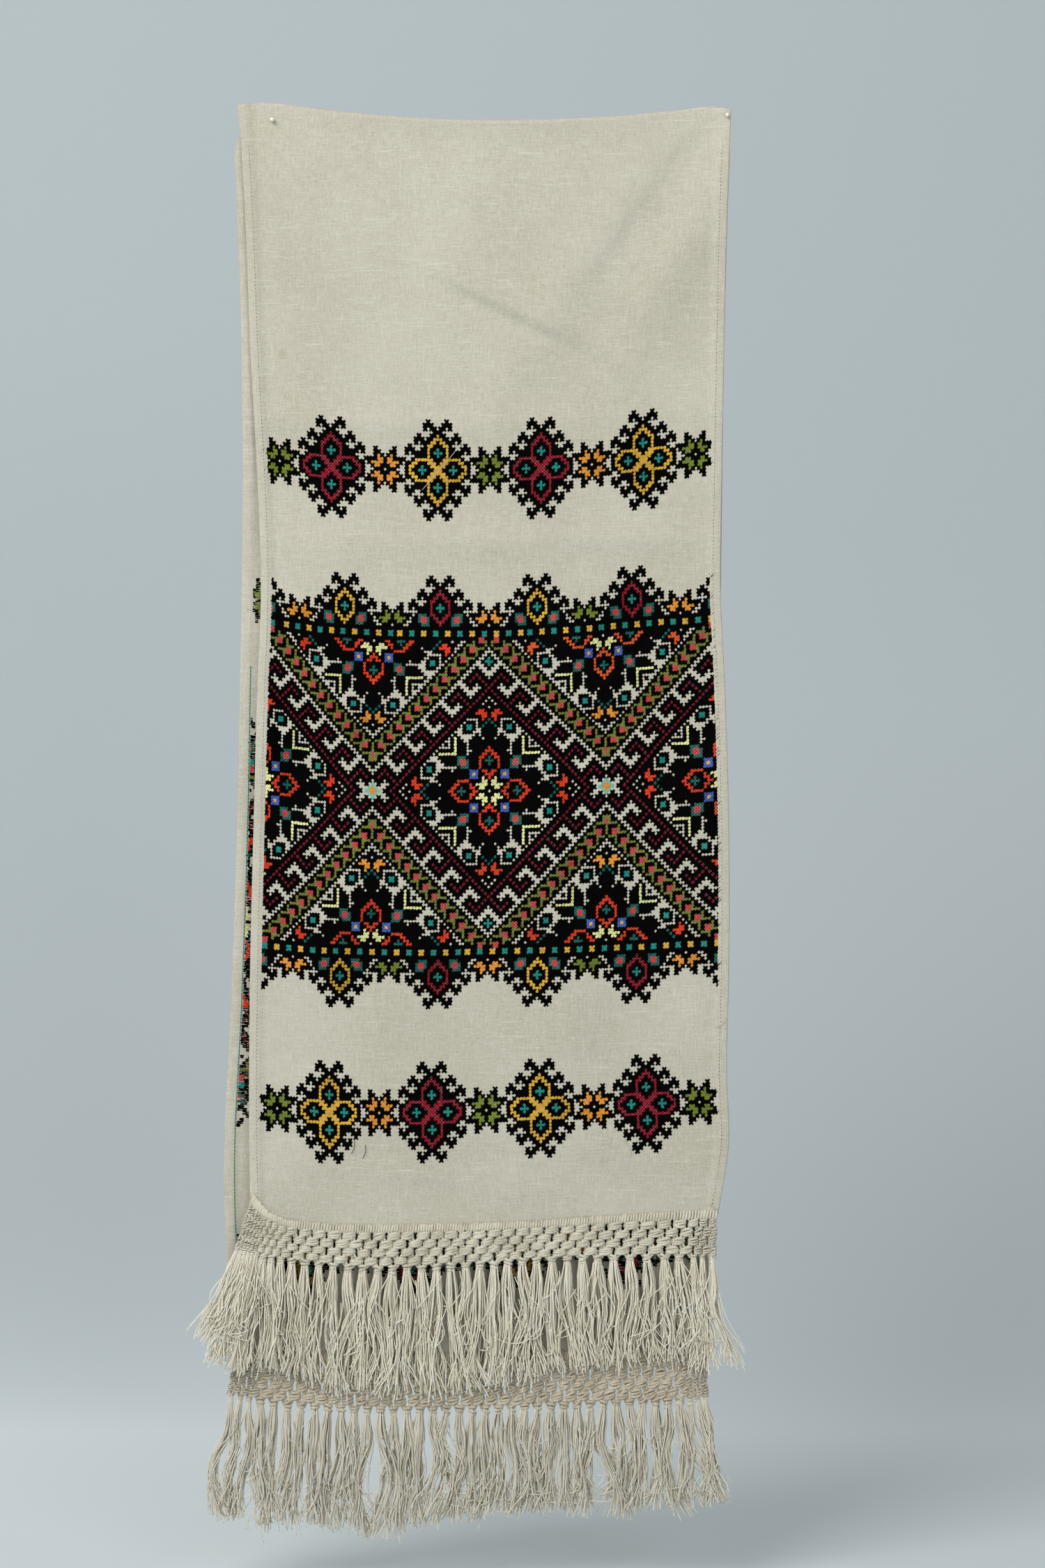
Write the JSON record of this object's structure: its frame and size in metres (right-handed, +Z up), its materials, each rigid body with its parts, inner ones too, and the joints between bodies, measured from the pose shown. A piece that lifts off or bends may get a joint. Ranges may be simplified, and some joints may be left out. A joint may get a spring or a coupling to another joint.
{
  "type": "rushnyk ritual towel with hanging pins",
  "caption": "Long linen ritual towel with cross-stitch bands and knotted tassel fringe, folded double at the top and hung by two ball-headed pins.",
  "frame": {"origin": "lowest point of the sagging top fold, midway between the two pins that hold the towel on the wall", "axes": "+Z up, +X to the viewer's right, the front panel faces -Y and the wall is on the +Y side"},
  "size_m": [0.4001, 0.0277, 1.085],
  "materials": {
    "linen": "plain-weave linen with slubs, cross-stitched in coloured cotton",
    "cotton_yarn": "undyed soft cotton yarn, knotted and loose",
    "pin_ball": "white glossy ball on a thin steel shank"
  },
  "bodies": {
    "root": {"cloth": "linen", "front_fringe": "cotton_yarn", "back_fringe": "cotton_yarn", "pin_left": "pin_ball", "pin_right": "pin_ball"}
  },
  "joints": []
}
